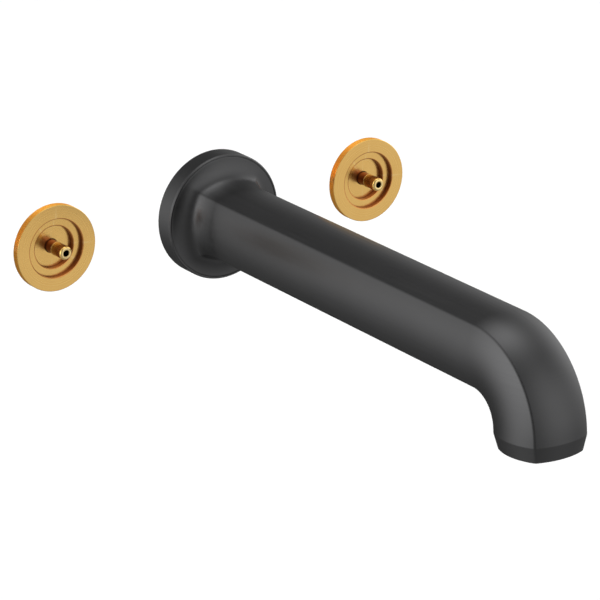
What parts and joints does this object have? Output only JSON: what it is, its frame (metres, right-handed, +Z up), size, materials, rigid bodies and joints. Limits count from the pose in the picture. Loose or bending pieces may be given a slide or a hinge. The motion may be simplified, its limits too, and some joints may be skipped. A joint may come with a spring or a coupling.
{
  "type": "wall mounted bath faucet",
  "caption": "Long square spout with bulged sides and a down-turned end on a round wall flange, between brass valve rings with splined stems for handles.",
  "frame": {"origin": "in the finished wall's plane, on the centreline of the spout", "axes": "+Y into the wall, +Z up, +X to the right of a person facing the wall"},
  "size_m": [0.251, 0.3317, 0.0781],
  "materials": {
    "black_finish": "brushed black finish on brass, satin, with fine lengthwise grain",
    "brass": "raw turned brass, satin",
    "machined_brass": "raw milled brass",
    "steel": "stainless steel",
    "copper": "drawn copper",
    "rubber": "black nitrile rubber",
    "foam": "closed-cell foam",
    "ceramic": "polished white ceramic",
    "plastic": "white acetal"
  },
  "bodies": {
    "fixed_trim": {"spout_shell": "black_finish", "wall_flange": "black_finish", "spout_nipple": "brass", "hot_mounting_ring": "brass", "cold_mounting_ring": "brass", "hot_bonnet": "brass", "cold_bonnet": "brass", "hot_cartridge_sleeve": "brass", "cold_cartridge_sleeve": "brass", "adapter_collar": "machined_brass", "outlet_insert": "machined_brass", "set_screw": "steel", "aerator_housing": "steel", "aerator_screen": "steel", "waterway_tube": "copper", "nipple_o_ring_back": "rubber", "nipple_o_ring_front": "rubber", "aerator_washer": "rubber", "hot_seat_seal": "rubber", "cold_seat_seal": "rubber", "hot_bonnet_seal": "rubber", "cold_bonnet_seal": "rubber", "wall_gasket": "foam", "hot_fixed_disc": "ceramic", "cold_fixed_disc": "ceramic", "flow_straightener": "plastic", "hot_thrust_washer": "plastic", "cold_thrust_washer": "plastic"},
    "hot_spindle": {"hot_stem": "brass", "hot_stem_o_ring": "rubber", "hot_moving_disc": "ceramic"},
    "cold_spindle": {"cold_stem": "brass", "cold_stem_o_ring": "rubber", "cold_moving_disc": "ceramic"}
  },
  "joints": [
    {"name": "hot_stem_turn", "type": "hinge", "parent": "fixed_trim", "child": "hot_spindle", "pos_m": [-0.1016, 0, 0], "axis": [0, -1, 0], "range_deg": [0, 90]},
    {"name": "cold_stem_turn", "type": "hinge", "parent": "fixed_trim", "child": "cold_spindle", "pos_m": [0.1016, 0, 0], "axis": [0, -1, 0], "range_deg": [-90, 0]}
  ]
}
